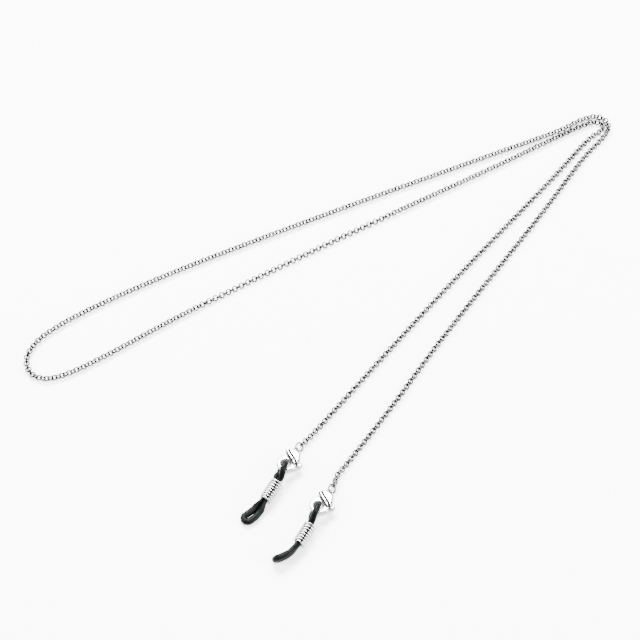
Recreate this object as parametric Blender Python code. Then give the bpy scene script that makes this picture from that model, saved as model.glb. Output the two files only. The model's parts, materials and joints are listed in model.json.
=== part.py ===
"""Eyeglass retainer strap: a fine rolo chain of round steel links.

Each end of the chain has three loose end links, a jump ring, a lobster clasp and a
rubber temple loop, whose two strands are gripped by a sliding wire coil. The strap
lies on a table. +Z is up, and the origin is on the table under the middle of the
fittings. Sizes below are in millimetres, and objects are made in metres.
"""

import math

import bmesh
import bpy
from mathutils import Matrix, Vector

MM = 0.001

# The layout's own zero is the middle of the looped chain. This is where the middle of
# the two ends' fittings lies in it, and it becomes the origin.
FITTINGS_MIDDLE = (-9.0, -66.35)

# Chain links: round steel rings, each threaded through the next.
LINK_OUTER = 2.10
LINK_WIRE = 0.42
LINK_PLAY = 0.06
END_LINKS = 3
LINK_LEAN_DEG = 45.0
CHAIN_LIFT = 0.05
CHAIN_END_GAP = 0.55

# Jump ring between the end links and the clasp's eye.
RING_OUTER = 3.10
RING_WIRE = 0.56
RING_PLAY = 0.05
RING_SLIT_TURN_DEG = 75.0
RING_SLIT_DEG = 8.0
RING_LEAN_DEG = 42.0
RING_LIFT = 0.08

# Lobster clasp, in its own frame: X from the eye to the claw's end, Z out of its face.
EYE_HOLE_RADIUS = 0.76
EYE_WIRE = 0.42
EYE_PLAY = 0.14
CLASP_PITCH_DEG = 9.0
CLAW_CENTRE = (5.90, 0.25)
CLAW_RADIUS = 3.10
CLAW_THICK = 1.40
MOUTH_CENTRE = (6.50, 0.05)
MOUTH_RADIUS = 1.75
BODY_THICK = 2.60
BODY_CHAMFER = 0.35
PIVOT = (4.20, 1.35)
CHEEK_RADIUS = 1.90
GATE_START_DEG = -14.0
GATE_END_DEG = 112.0
GATE_GAP = 0.10
SLOT_THICK = 1.00
SLOT_START_DEG = -2.0
SLOT_END_DEG = 128.0
LEVER_THICK = 0.84
LEVER_ROOT_RADIUS = 0.85
LEVER_WEB_START_DEG = 12.0
LEVER_WEB_END_DEG = 92.0
TAB_DEG = 78.0
TAB_WIDTH = 1.30
TAB_REACH = 3.10
TAB_CLEARANCE = 0.15
RIVET_RADIUS = 0.33
RIVET_PLAY = 0.03
SPRING_OUTER = 0.70
SPRING_WIRE = 0.14
SPRING_TURNS = 5
SPRING_OFFSET = 0.38
SPRING_END_GAP = 0.08
HEEL_SEAT = 0.45
HEEL_LEVEL = 0.05
NOSE_BACK_X = 0.90
NOSE_BACK_Y = 1.00
WELL_CLEAR = 4.0
POCKET_DEPTH = 2.30
POCKET_PLAY = 0.09

# Sliding wire coil that grips the two strands of the rubber loop.
COIL_OUTER = 4.00
COIL_WIRE = 0.80
COIL_TURNS = 7.3
COIL_GAP = 0.13
COIL_PLAY = 0.07

# Rubber temple loop: one endless cord through the clasp's mouth.
CORD_DIA = 2.00
CORD_CLAW_DIA = 1.86
STRAND_GAP = 0.06
SLIT_GAP = 0.40
CLAW_PLAY = 0.18
CLAW_TURN_DEG = 71.0
CLAW_BEND_REACH = 2.30
LOOP_LENGTH = 9.30
COIL_FROM_CLAW = 4.10
SQUEEZE_LENGTH = 3.00
SLIT_START = 3.20
SLIT_WIDENING = 2.50
CLAW_PART_END = 0.60
CLAW_EXIT = 2.40
CLAW_EXIT_OFFSET = 0.99
GRIP_TAPER = 2.10

# Each end: where its ring is in the layout, and which way things run along the table,
# in degrees from +X. Keys of the loop's heading and of its strands' turn are at a
# distance from the claw, then the angle.
ENDS = {
    "left": {
        "ring": (-6.2, -48.1),
        "link_heading": -131.0,
        "clasp_heading": -119.5,
        "loop_heading": [(0.0, -110.0), (2.0, -111.0), (4.1, -119.1), (11.1, -119.1),
                         (15.0, -130.0), (20.4, -147.0)],
        "strand_turn": [(0.5, CLAW_TURN_DEG), (4.1, 0.0)],
    },
    "right": {
        "ring": (3.55, -62.7),
        "link_heading": -108.0,
        "clasp_heading": -120.5,
        "loop_heading": [(0.0, -110.0), (2.0, -104.0), (4.1, -118.7), (11.1, -118.7),
                         (14.0, -130.0), (17.0, -150.0), (20.4, -168.0)],
        "strand_turn": [(0.5, CLAW_TURN_DEG), (4.1, 72.0)],
    },
}

# The chain's route over the table, from the left end to the right end. The two ends'
# own points come from the rings.
ROUTE = [
    (5.0, -33.8), (40.1, 11.8), (76.3, 56.5), (91.0, 75.2), (94.3, 77.9), (95.8, 80.0),
    (94.8, 81.9), (92.4, 82.1), (88.6, 80.4), (80.4, 75.7), (55.5, 60.8), (5.5, 31.7),
    (-43.6, 1.2), (-67.5, -15.0), (-77.4, -20.9), (-83.8, -23.0), (-88.0, -22.0),
    (-90.5, -18.6), (-90.8, -14.4), (-88.3, -9.0), (-82.8, -3.6), (-72.0, 3.9),
    (-47.3, 17.9), (3.7, 42.8), (55.2, 66.6), (81.1, 78.6), (88.4, 83.0), (93.6, 84.7),
    (97.0, 83.4), (98.3, 80.4), (97.2, 77.0), (88.9, 66.8), (71.9, 41.6), (37.5, -8.7),
    (21.1, -34.4),
]
ROUTE_POINTS = 80
BEND_WEIGHT = 14.0

# What follows from the sizes above.
LINK_RADIUS = (LINK_OUTER - LINK_WIRE) / 2
LINK_PITCH = LINK_OUTER - 2 * LINK_WIRE - LINK_PLAY
RING_RADIUS = (RING_OUTER - RING_WIRE) / 2
RING_FROM_LINK = LINK_RADIUS - (LINK_WIRE + RING_WIRE) / 2 - RING_PLAY
RING_HEIGHT = RING_RADIUS * math.cos(math.radians(RING_LEAN_DEG)) + RING_WIRE / 2
EYE_RADIUS = EYE_HOLE_RADIUS + EYE_WIRE / 2
EYE_FROM_RING = EYE_HOLE_RADIUS - RING_WIRE / 2 - EYE_PLAY
CLAW_ARC_X = (CLAW_CENTRE[0] + CLAW_RADIUS + MOUTH_CENTRE[0] + MOUTH_RADIUS) / 2
COIL_PITCH = COIL_WIRE + COIL_GAP
COIL_LENGTH = COIL_TURNS * COIL_PITCH
COIL_RADIUS = (COIL_OUTER - COIL_WIRE) / 2
COIL_BORE_RADIUS = COIL_RADIUS - COIL_WIRE / 2
COIL_START = COIL_FROM_CLAW
COIL_END = COIL_START + COIL_LENGTH + COIL_WIRE
GRIP_START = COIL_START - 0.10
GRIP_RADIUS = (COIL_BORE_RADIUS - COIL_PLAY - STRAND_GAP / 2) / 2
GRIP_OFFSET = GRIP_RADIUS + STRAND_GAP / 2
FREE_OFFSET = (CORD_DIA + STRAND_GAP) / 2
TIP_OFFSET = (CORD_DIA + SLIT_GAP) / 2
CLAW_OFFSET = ((CLAW_THICK + CORD_CLAW_DIA) / 2 + CLAW_PLAY) / math.sin(
    math.radians(CLAW_TURN_DEG))


def clear_scene():
    for old in list(bpy.data.objects):
        bpy.data.objects.remove(old, do_unlink=True)


def finish_of(name, colour, roughness, metallic):
    material = bpy.data.materials.new(name)
    material.use_nodes = True
    shader = material.node_tree.nodes["Principled BSDF"]
    shader.inputs["Base Color"].default_value = (*colour, 1.0)
    shader.inputs["Roughness"].default_value = roughness
    shader.inputs["Metallic"].default_value = metallic
    return material


def make_finishes():
    steel = (0.62, 0.61, 0.59)
    return {
        "chain": finish_of("chain_steel", steel, 0.25, 1.0),
        "ring": finish_of("ring_steel", steel, 0.22, 1.0),
        "clasp": finish_of("clasp_steel", (0.66, 0.65, 0.63), 0.20, 1.0),
        "lever": finish_of("lever_steel", (0.70, 0.69, 0.67), 0.22, 1.0),
        "rivet": finish_of("rivet_steel", (0.50, 0.49, 0.47), 0.30, 1.0),
        "spring": finish_of("spring_steel", (0.45, 0.45, 0.44), 0.30, 1.0),
        "coil": finish_of("coil_steel", steel, 0.24, 1.0),
        "rubber": finish_of("black_rubber", (0.012, 0.012, 0.013), 0.45, 0.0),
    }


def heading(degrees, pitch=0.0):
    """Unit vector along the table, or rising from it by the pitch."""
    turn = math.radians(degrees)
    rise = math.radians(pitch)
    flat = math.cos(rise)
    return Vector((flat * math.cos(turn), flat * math.sin(turn), math.sin(rise)))


def frame_at(point, x_axis, z_axis):
    """Frame with this origin and X axis, and its Z axis as near as can be to z_axis."""
    x_axis = x_axis.normalized()
    z_axis = (z_axis - x_axis * z_axis.dot(x_axis)).normalized()
    y_axis = z_axis.cross(x_axis)
    frame = Matrix((x_axis, y_axis, z_axis)).transposed().to_4x4()
    frame.translation = point
    return frame


def place(name, shape, frame, finish, cutter=False):
    """Object of a shape in millimetres at a frame. A cutter stays out of renders."""
    bmesh.ops.recalc_face_normals(shape, faces=shape.faces)
    bmesh.ops.scale(shape, vec=(MM, MM, MM), verts=shape.verts)
    mesh = bpy.data.meshes.new(name)
    shape.to_mesh(mesh)
    shape.free()
    mesh.shade_smooth()
    mesh.set_sharp_from_angle(angle=math.radians(40.0))
    return put(name, mesh, frame, finish, cutter)


def put(name, shape_data, frame, finish, cutter=False):
    made = bpy.data.objects.new(name, shape_data)
    shape_data.materials.append(finish)
    world = frame.copy()
    world.translation = (frame.translation - Vector((*FITTINGS_MIDDLE, 0.0))) * MM
    made.matrix_world = world
    bpy.context.scene.collection.objects.link(made)
    if cutter:
        made.hide_render = True
        made.display_type = "WIRE"
    return made


def boolean(target, operand, operation):
    step = target.modifiers.new(operand.name, "BOOLEAN")
    step.operation = operation
    step.solver = "EXACT"
    step.object = operand


def ring_shape(radius, wire, around, sides, centre=(0.0, 0.0), slit_deg=0.0):
    """Wire ring about Z. A slit leaves an opening in it, at its local -X side."""
    shape = bmesh.new()
    turned = Matrix.Rotation(math.radians(90.0), 4, "X")
    if slit_deg:
        bmesh.ops.create_circle(
            shape, segments=sides, radius=wire / 2, cap_ends=True,
            matrix=Matrix.Translation((radius, 0.0, 0.0)) @ turned)
        bmesh.ops.spin(
            shape, geom=shape.faces[:] + shape.edges[:] + shape.verts[:],
            cent=(0, 0, 0), axis=(0, 0, 1), dvec=(0, 0, 0),
            angle=math.radians(360.0 - slit_deg), steps=around, use_merge=False)
        middle = Matrix.Rotation(math.radians(180.0 + slit_deg / 2), 4, "Z")
        bmesh.ops.transform(shape, matrix=middle, verts=shape.verts)
    else:
        bmesh.ops.create_circle(
            shape, segments=sides, radius=wire / 2,
            matrix=Matrix.Translation((radius, 0.0, 0.0)) @ turned)
        bmesh.ops.spin(
            shape, geom=shape.edges[:] + shape.verts[:],
            cent=(0, 0, 0), axis=(0, 0, 1), dvec=(0, 0, 0),
            angle=math.radians(360.0), steps=around, use_merge=True)
    bmesh.ops.translate(shape, vec=(*centre, 0.0), verts=shape.verts)
    return shape


def prism_shape(outline, thick, chamfer=0.0):
    """Flat plate with this outline, centred on the plane Z = 0."""
    shape = bmesh.new()
    corners = [shape.verts.new((x, y, -thick / 2)) for x, y in outline]
    base = shape.faces.new(corners)
    raised = bmesh.ops.extrude_face_region(shape, geom=[base])
    top = [item for item in raised["geom"] if isinstance(item, bmesh.types.BMVert)]
    bmesh.ops.translate(shape, vec=(0.0, 0.0, thick), verts=top)
    if chamfer:
        flat = [edge for edge in shape.edges
                if abs(edge.verts[0].co.z - edge.verts[1].co.z) < thick / 2]
        bmesh.ops.bevel(shape, geom=flat, offset=chamfer, offset_type="OFFSET",
                        segments=1, profile=0.5, affect="EDGES", material=-1)
    return shape


def arc_points(centre, radius, start_deg, end_deg, steps):
    """Points on an arc, both ends included."""
    points = []
    for step in range(steps + 1):
        turn = math.radians(start_deg + (end_deg - start_deg) * step / steps)
        points.append((centre[0] + radius * math.cos(turn),
                       centre[1] + radius * math.sin(turn)))
    return points


def circle_points(centre, radius, steps):
    return arc_points(centre, radius, 0.0, 360.0, steps)[:-1]


def tube_data(name, points, radius, cyclic=False, widths=None, resolution=2):
    """Round tube along points in millimetres, with closed ends."""
    curve = bpy.data.curves.new(name, "CURVE")
    curve.dimensions = "3D"
    curve.bevel_depth = radius * MM
    curve.bevel_resolution = resolution
    curve.use_fill_caps = not cyclic
    spline = curve.splines.new("POLY")
    spline.points.add(len(points) - 1)
    for index, point in enumerate(points):
        spline.points[index].co = (*(Vector(point) * MM), 1.0)
        if widths:
            spline.points[index].radius = widths[index] / radius
    spline.use_cyclic_u = cyclic
    return curve


def helix_points(radius, pitch, turns, per_turn):
    """Points of a helix about X, centred on its origin."""
    count = round(turns * per_turn)
    points = []
    for index in range(count + 1):
        turned = 2 * math.pi * turns * index / count
        along = pitch * turns * (index / count - 0.5)
        points.append((along, radius * math.cos(turned), radius * math.sin(turned)))
    return points


def eased(keys, at):
    """Value at a distance, eased from each (distance, value) key to the next."""
    if at <= keys[0][0]:
        return keys[0][1]
    for (start, first), (end, second) in zip(keys, keys[1:]):
        if at <= end:
            share = (at - start) / (end - start)
            return first + (second - first) * share * share * (3 - 2 * share)
    return keys[-1][1]


def smooth_curve(points, per_span):
    """Dense points of a centripetal Catmull-Rom curve through these points."""
    points = [Vector(point) for point in points]
    first = points[0] * 2 - points[1]
    last = points[-1] * 2 - points[-2]
    padded = [first] + points + [last]
    dense = []
    for a, b, c, d in zip(padded, padded[1:], padded[2:], padded[3:]):
        t1 = (b - a).length ** 0.5
        t2 = t1 + (c - b).length ** 0.5
        t3 = t2 + (d - c).length ** 0.5
        for step in range(per_span):
            t = t1 + (t2 - t1) * step / per_span
            ab = a.lerp(b, t / t1)
            bc = b.lerp(c, (t - t1) / (t2 - t1))
            cd = c.lerp(d, (t - t2) / (t3 - t2))
            abc = ab.lerp(bc, t / t2)
            bcd = bc.lerp(cd, (t - t1) / (t3 - t1))
            dense.append(abc.lerp(bcd, (t - t1) / (t2 - t1)))
    dense.append(points[-1])
    return dense


def spread(dense, count, bend_weight):
    """This many of a curve's points, closer together where it bends."""
    costs = [0.0]
    for before, here, after in zip(dense, dense[1:], dense[2:] + [dense[-1]]):
        step = (here - before).length
        bend = (after - here).angle(here - before, 0.0) if after != here else 0.0
        costs.append(costs[-1] + step + bend_weight * bend)
    chosen = []
    index = 0
    for number in range(count):
        target = costs[-1] * number / (count - 1)
        while index < len(costs) - 2 and costs[index + 1] < target:
            index += 1
        gap = costs[index + 1] - costs[index]
        share = min(1.0, max(0.0, (target - costs[index]) / gap))
        chosen.append(dense[index].lerp(dense[index + 1], share))
    return chosen


class End:
    """Frames of one end's fittings, in the layout's millimetres."""

    def __init__(self, side):
        keys = ENDS[side]
        up = Vector((0.0, 0.0, 1.0))
        self.side = side
        self.keys = keys
        self.ring_centre = Vector((*keys["ring"], RING_HEIGHT + RING_LIFT))
        link_reach = END_LINKS * LINK_PITCH + RING_RADIUS + RING_FROM_LINK
        drop = self.ring_centre.z - (LINK_OUTER / 2 + CHAIN_LIFT)
        rise = math.degrees(math.atan(drop / (link_reach + CHAIN_END_GAP)))
        self.pull = heading(keys["link_heading"], rise)
        self.clasp_x = heading(keys["clasp_heading"], CLASP_PITCH_DEG)
        mean = heading((keys["link_heading"] + keys["clasp_heading"]) / 2)
        across = mean.cross(up) * -1
        lean = math.radians(RING_LEAN_DEG)
        self.ring_axis = across * math.cos(lean) + up * math.sin(lean)
        self.ring_axis = self.ring_axis.normalized()
        near = self.in_ring_plane(self.pull)
        far = self.in_ring_plane(self.clasp_x)
        self.ring_near = self.ring_centre - near * RING_RADIUS
        self.ring_far = self.ring_centre + far * RING_RADIUS
        self.ring_tangent = self.ring_axis.cross(far).normalized()
        self.last_link = self.ring_near - self.pull * RING_FROM_LINK
        self.ring_hinge = self.last_link + self.pull * LINK_RADIUS
        self.chain_end = (self.last_link - self.pull * ((END_LINKS - 1) * LINK_PITCH)
                          - self.pull * (LINK_OUTER / 2 + CHAIN_END_GAP))
        self.clasp = frame_at(self.ring_far, self.clasp_x, up)
        self.pivot = self.clasp @ Vector((EYE_FROM_RING + PIVOT[0], PIVOT[1], 0.0))
        self.claw_arc = self.clasp @ Vector((EYE_FROM_RING + CLAW_ARC_X, 0.0, 0.0))
        self.build_loop_middle()

    def in_ring_plane(self, direction):
        inside = direction - self.ring_axis * direction.dot(self.ring_axis)
        return inside.normalized()

    def link_frame(self, number):
        """Frame of an end link, 1 next to the chain, at the wire that it hangs on."""
        back = (END_LINKS - number) * LINK_PITCH
        centre = self.last_link - self.pull * back
        across = self.pull.cross(Vector((0.0, 0.0, 1.0))).normalized() * -1
        rise = across.cross(self.pull).normalized() * -1
        rise = rise if rise.z > 0 else rise * -1
        slope = -1 if (END_LINKS - number) % 2 == 0 else 1
        lean = math.radians(LINK_LEAN_DEG)
        axis = across * math.cos(lean) + rise * slope * math.sin(lean)
        hang = centre - self.pull * (LINK_PITCH - LINK_RADIUS)
        return frame_at(hang, self.pull, axis)

    def build_loop_middle(self):
        """Mid-line of the loop's two strands, stepped out from the claw."""
        self.loop_step = 0.05
        coil_height = COIL_OUTER / 2 + CHAIN_LIFT
        self.loop_length = COIL_END + LOOP_LENGTH - CORD_DIA / 2 - TIP_OFFSET
        here = self.claw_arc.copy()
        self.loop_middle = []
        for index in range(int(self.loop_length / self.loop_step) + 2):
            s = index * self.loop_step
            turn = self.strand_turn(s)
            spread_up = self.strand_offset(s) * abs(math.sin(turn))
            resting = CORD_DIA / 2 + CHAIN_LIFT + spread_up
            heights = [(0.5, self.claw_arc.z), (COIL_START, coil_height),
                       (COIL_END, coil_height), (COIL_END + 4.0, resting)]
            here.z = eased(heights, s)
            self.loop_middle.append(here.copy())
            here = here + heading(self.loop_heading(s)) * self.loop_step

    def loop_heading(self, s):
        return eased(self.keys["loop_heading"], s)

    def strand_turn(self, s):
        return math.radians(eased(self.keys["strand_turn"], s))

    def strand_offset(self, s):
        keys = [(CLAW_PART_END, CLAW_OFFSET), (CLAW_EXIT, CLAW_EXIT_OFFSET),
                (GRIP_START, GRIP_OFFSET),
                (COIL_END, GRIP_OFFSET), (COIL_END + SQUEEZE_LENGTH, FREE_OFFSET),
                (COIL_END + SLIT_START, FREE_OFFSET),
                (COIL_END + SLIT_START + SLIT_WIDENING, TIP_OFFSET)]
        return eased(keys, s)

    def strand_radius(self, s):
        keys = [(GRIP_START - GRIP_TAPER, CORD_CLAW_DIA / 2), (GRIP_START, GRIP_RADIUS),
                (COIL_END, GRIP_RADIUS), (COIL_END + SQUEEZE_LENGTH, CORD_DIA / 2)]
        return eased(keys, s)

    def middle_at(self, s):
        index = min(int(s / self.loop_step), len(self.loop_middle) - 2)
        share = s / self.loop_step - index
        return self.loop_middle[index].lerp(self.loop_middle[index + 1], share)

    def across_at(self, s):
        """Unit vector from the mid-line to the upper strand."""
        level = Vector((0.0, 0.0, 1.0)).cross(heading(self.loop_heading(s)))
        turn = self.strand_turn(s)
        return level * math.cos(turn) + Vector((0.0, 0.0, 1.0)) * math.sin(turn)

    def coil_frame(self):
        start = self.middle_at(COIL_START)
        end = self.middle_at(COIL_END)
        return frame_at((start + end) / 2, end - start, Vector((0.0, 0.0, 1.0)))

    def cord_points(self):
        """Centre line and radius of the endless cord, once round."""
        strand = []
        s = 0.0
        while s < self.loop_length - 0.3:
            strand.append(s)
            changing = s < COIL_START + 0.5 or s > COIL_END - 0.7
            s += 0.7 if changing else 1.6
        strand.append(self.loop_length)
        line = []
        for s in strand:
            line.append((self.middle_at(s) + self.across_at(s) * self.strand_offset(s),
                         self.strand_radius(s)))
        tip = self.middle_at(self.loop_length)
        ahead = heading(self.loop_heading(self.loop_length))
        for step in range(1, 8):
            turn = math.pi * step / 8
            line.append((tip + self.across_at(self.loop_length) * TIP_OFFSET
                         * math.cos(turn) + ahead * TIP_OFFSET * math.sin(turn),
                         CORD_DIA / 2))
        for s in reversed(strand):
            line.append((self.middle_at(s) - self.across_at(s) * self.strand_offset(s),
                         self.strand_radius(s)))
        back = heading(self.loop_heading(0.0)) * -1
        for step in range(1, 10):
            turn = math.pi * step / 10
            line.append((self.claw_arc - self.across_at(0.0) * CLAW_OFFSET
                         * math.cos(turn) + back * CLAW_BEND_REACH * math.sin(turn),
                         CORD_CLAW_DIA / 2))
        return line


def make_chain(ends, finishes):
    height = LINK_OUTER / 2 + CHAIN_LIFT
    start = ends["left"].chain_end
    end = ends["right"].chain_end
    route = [start] + [Vector((x, y, height)) for x, y in ROUTE] + [end]
    points = spread(smooth_curve(route, 40), ROUTE_POINTS, BEND_WEIGHT)
    origin = Matrix.Identity(4)
    tube = tube_data("chain", points, LINK_OUTER / 2)
    put("chain", tube, origin, finishes["chain"])


def make_end_link(end, number, finishes):
    shape = ring_shape(LINK_RADIUS, LINK_WIRE, 18, 8,
                       centre=(LINK_PITCH - LINK_RADIUS, 0.0))
    name = f"{end.side}_end_link_{number}"
    place(name, shape, end.link_frame(number), finishes["chain"])


def make_jump_ring(end, finishes):
    """Split ring, hung on the last link's wire, with its slit turned to the side."""
    frame = frame_at(end.ring_hinge, end.pull, end.ring_axis)
    centre = frame.inverted() @ end.ring_centre
    shape = ring_shape(RING_RADIUS, RING_WIRE, 28, 8, slit_deg=RING_SLIT_DEG)
    to_side = Matrix.Rotation(math.radians(RING_SLIT_TURN_DEG), 4, "Z")
    bmesh.ops.transform(shape, matrix=to_side, verts=shape.verts)
    bmesh.ops.translate(shape, vec=centre, verts=shape.verts)
    place(f"{end.side}_jump_ring", shape, frame, finishes["ring"])


def bulge_outline():
    """Outline of the clasp's thick part, from the eye round to the pivot's cheeks."""
    cheek = arc_points(PIVOT, CHEEK_RADIUS, 38.0, 100.0, 8)
    tail = [(2.40, 2.50), (1.15, 1.85), (0.80, 1.15)]
    hook_side = [(0.80, -1.15), (1.15, -1.90), (2.20, -2.32), (2.70, -1.85)]
    groove = [(3.40, -1.10), (4.05, -0.20), (4.65, 0.80), (5.10, 1.45)]
    return hook_side + groove + cheek + tail


def make_clasp_body(end, finishes):
    side = end.side
    finish = finishes["clasp"]
    frame = end.clasp @ Matrix.Translation((EYE_FROM_RING, 0.0, 0.0))
    claw = prism_shape(circle_points(CLAW_CENTRE, CLAW_RADIUS, 44), CLAW_THICK)
    body = place(f"{side}_clasp_body", claw, end.clasp, finish)
    body.data.transform(Matrix.Translation((EYE_FROM_RING * MM, 0.0, 0.0)))

    def cutter(name, shape):
        return place(f"{side}_{name}", shape, frame, finish, cutter=True)

    gate = (arc_points(CLAW_CENTRE, CLAW_RADIUS + 1.0, GATE_START_DEG, GATE_END_DEG, 12)
            + [CLAW_CENTRE])
    boolean(body, cutter("gate_cut", prism_shape(gate, 2 * BODY_THICK)), "DIFFERENCE")
    bulge = prism_shape(bulge_outline(), BODY_THICK, BODY_CHAMFER)
    boolean(body, cutter("bulge", bulge), "UNION")
    eye = ring_shape(EYE_RADIUS, EYE_WIRE, 24, 10)
    boolean(body, cutter("eye", eye), "UNION")
    mouth = prism_shape(circle_points(MOUTH_CENTRE, MOUTH_RADIUS, 36), 2 * BODY_THICK)
    boolean(body, cutter("mouth_cut", mouth), "DIFFERENCE")
    slot = ([PIVOT] + arc_points(PIVOT, TAB_REACH + 1.0, SLOT_START_DEG, SLOT_END_DEG, 12))
    boolean(body, cutter("slot_cut", prism_shape(slot, SLOT_THICK)), "DIFFERENCE")
    root = circle_points(PIVOT, LEVER_ROOT_RADIUS + GATE_GAP, 24)
    boolean(body, cutter("root_cut", prism_shape(root, SLOT_THICK)), "DIFFERENCE")
    half = SPRING_OUTER / 2 + POCKET_PLAY
    low = PIVOT[1] + SPRING_OFFSET - half
    high = PIVOT[1] + SPRING_OFFSET + half
    far = PIVOT[0] - POCKET_DEPTH
    pocket = [(far, low), (PIVOT[0], low), (PIVOT[0], high), (far, high)]
    boolean(body, cutter("pocket_cut", prism_shape(pocket, SLOT_THICK)), "DIFFERENCE")
    hole = circle_points(PIVOT, RIVET_RADIUS + RIVET_PLAY, 20)
    boolean(body, cutter("rivet_cut", prism_shape(hole, 2 * BODY_THICK)), "DIFFERENCE")


def make_rivet(end, finishes):
    shape = prism_shape(circle_points((0.0, 0.0), RIVET_RADIUS, 20), BODY_THICK, 0.06)
    frame = end.clasp.copy()
    frame.translation = end.pivot
    place(f"{end.side}_clasp_rivet", shape, frame, finishes["rivet"])


def make_lever(end, finishes):
    """Thumb lever: root disc and web in the slot, nose that shuts the claw, and tab."""
    side = end.side
    finish = finishes["lever"]
    frame = end.clasp.copy()
    frame.translation = end.pivot
    claw = (CLAW_CENTRE[0] - PIVOT[0], CLAW_CENTRE[1] - PIVOT[1])
    mouth = (MOUTH_CENTRE[0] - PIVOT[0], MOUTH_CENTRE[1] - PIVOT[1])
    here = (0.0, 0.0)

    def helper(name, shape):
        return place(f"{side}_{name}", shape, frame, finish, cutter=True)

    nose_start = GATE_START_DEG + math.degrees(GATE_GAP / CLAW_RADIUS)
    nose = arc_points(claw, CLAW_RADIUS, nose_start, GATE_END_DEG, 24) + [claw]
    lever = place(f"{side}_clasp_lever", prism_shape(nose, CLAW_THICK), frame, finish)
    cheek = circle_points(here, CHEEK_RADIUS + GATE_GAP, 40)
    boolean(lever, helper("nose_heel_cut", prism_shape(cheek, 2 * BODY_THICK)),
            "DIFFERENCE")
    behind = [(-WELL_CLEAR, -WELL_CLEAR), (NOSE_BACK_X, -WELL_CLEAR),
              (NOSE_BACK_X, NOSE_BACK_Y), (-WELL_CLEAR, NOSE_BACK_Y)]
    boolean(lever, helper("nose_tail_cut", prism_shape(behind, 2 * BODY_THICK)),
            "DIFFERENCE")
    web = [here] + arc_points(here, CHEEK_RADIUS + 0.45, LEVER_WEB_START_DEG,
                              LEVER_WEB_END_DEG, 10)
    boolean(lever, helper("web", prism_shape(web, LEVER_THICK)), "UNION")
    root = circle_points(here, LEVER_ROOT_RADIUS, 24)
    boolean(lever, helper("root", prism_shape(root, LEVER_THICK)), "UNION")
    turn = math.radians(TAB_DEG)
    along = Vector((math.cos(turn), math.sin(turn)))
    across = Vector((-along.y, along.x)) * (TAB_WIDTH / 2)
    low = along * (CHEEK_RADIUS + TAB_CLEARANCE)
    high = along * TAB_REACH
    tab = [tuple(low - across), tuple(high - across), tuple(high + across),
           tuple(low + across)]
    boolean(lever, helper("tab", prism_shape(tab, CLAW_THICK - 0.1, 0.1)), "UNION")
    open_mouth = prism_shape(circle_points(mouth, MOUTH_RADIUS, 36), 2 * BODY_THICK)
    boolean(lever, helper("nose_mouth_cut", open_mouth), "DIFFERENCE")
    heel = [(-WELL_CLEAR, HEEL_LEVEL), (-HEEL_SEAT, HEEL_LEVEL),
            (-HEEL_SEAT, WELL_CLEAR / 2), (-WELL_CLEAR, WELL_CLEAR / 2)]
    boolean(lever, helper("heel_cut", prism_shape(heel, 2 * LEVER_THICK)), "DIFFERENCE")
    hole = circle_points(here, RIVET_RADIUS + RIVET_PLAY, 20)
    boolean(lever, helper("lever_hole_cut", prism_shape(hole, 2 * BODY_THICK)),
            "DIFFERENCE")


def make_spring(end, finishes):
    """Compression spring in the pocket behind the lever's heel."""
    far = -POCKET_DEPTH + SPRING_END_GAP + SPRING_WIRE / 2
    near = -HEEL_SEAT - SPRING_END_GAP - SPRING_WIRE / 2
    radius = (SPRING_OUTER - SPRING_WIRE) / 2
    points = helix_points(radius, (near - far) / SPRING_TURNS, SPRING_TURNS, 10)
    frame = end.clasp.copy()
    frame.translation = end.pivot
    frame = frame @ Matrix.Translation(((near + far) / 2, SPRING_OFFSET, 0.0))
    name = f"{end.side}_clasp_spring"
    coil = tube_data(name, points, SPRING_WIRE / 2, resolution=1)
    put(name, coil, frame, finishes["spring"])


def make_rubber_loop(end, finishes):
    line = end.cord_points()
    name = f"{end.side}_rubber_loop"
    frame = Matrix.Translation(end.claw_arc)
    points = [point - end.claw_arc for point, _ in line]
    widths = [width for _, width in line]
    loop = tube_data(name, points, CORD_DIA / 2, cyclic=True, widths=widths)
    put(name, loop, frame, finishes["rubber"])


def make_coil_slider(end, finishes):
    name = f"{end.side}_coil_slider"
    points = helix_points(COIL_RADIUS, COIL_PITCH, COIL_TURNS, 12)
    coil = tube_data(name, points, COIL_WIRE / 2)
    put(name, coil, end.coil_frame(), finishes["coil"])


def main():
    clear_scene()
    finishes = make_finishes()
    ends = {side: End(side) for side in ENDS}
    make_chain(ends, finishes)
    for end in ends.values():
        for number in range(1, END_LINKS + 1):
            make_end_link(end, number, finishes)
        make_jump_ring(end, finishes)
        make_clasp_body(end, finishes)
        make_rivet(end, finishes)
        make_spring(end, finishes)
        make_lever(end, finishes)
        make_rubber_loop(end, finishes)
        make_coil_slider(end, finishes)


main()
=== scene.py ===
# %% [markdown]
# An eyeglass retainer strap: a fine polished steel rolo chain, which carries a lobster
# clasp and a black rubber temple loop at each end. A wire coil slides over the loop.
# The engineering model is loaded first as a fixed frame. Every piece made here takes
# its place from that frame, rides on one of its bodies, and covers its plain solid.

# %% Load the frame
import json
import math

import bmesh
import bpy
from mathutils import Matrix, Vector


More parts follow.
